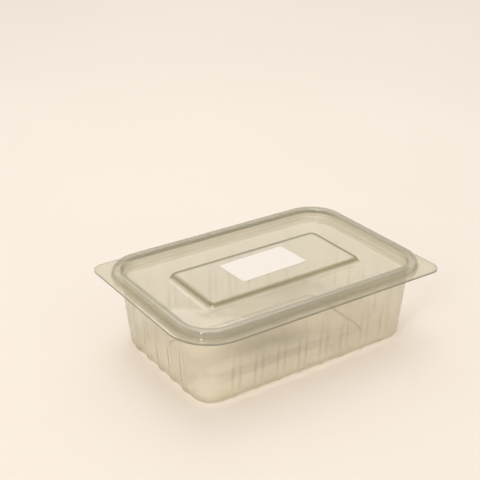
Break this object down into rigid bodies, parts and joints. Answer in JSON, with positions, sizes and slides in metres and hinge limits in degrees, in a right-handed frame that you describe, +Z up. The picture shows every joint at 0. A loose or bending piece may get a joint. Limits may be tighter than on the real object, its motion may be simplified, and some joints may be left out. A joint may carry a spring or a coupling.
{
  "type": "food storage container",
  "caption": "Rectangular clear plastic food container: a fluted tray with a beaded rim, a lid that presses over the bead and lifts off by corner ears, and a blank paper label.",
  "frame": {"origin": "on the ground under the middle of the tray", "axes": "+X along the long side, +Y along the short side, +Z up out of the tray's mouth"},
  "size_m": [0.172, 0.118, 0.052],
  "materials": {
    "clear_plastic": "gloss",
    "label_paper": "matte"
  },
  "bodies": {
    "tray": {"tray": "clear_plastic"},
    "lid": {"lid": "clear_plastic", "label": "label_paper"}
  },
  "joints": [
    {"name": "lid_lift", "type": "slide", "parent": "tray", "child": "lid", "axis": [0, 0, 1], "range_m": [0, 0.06]}
  ]
}
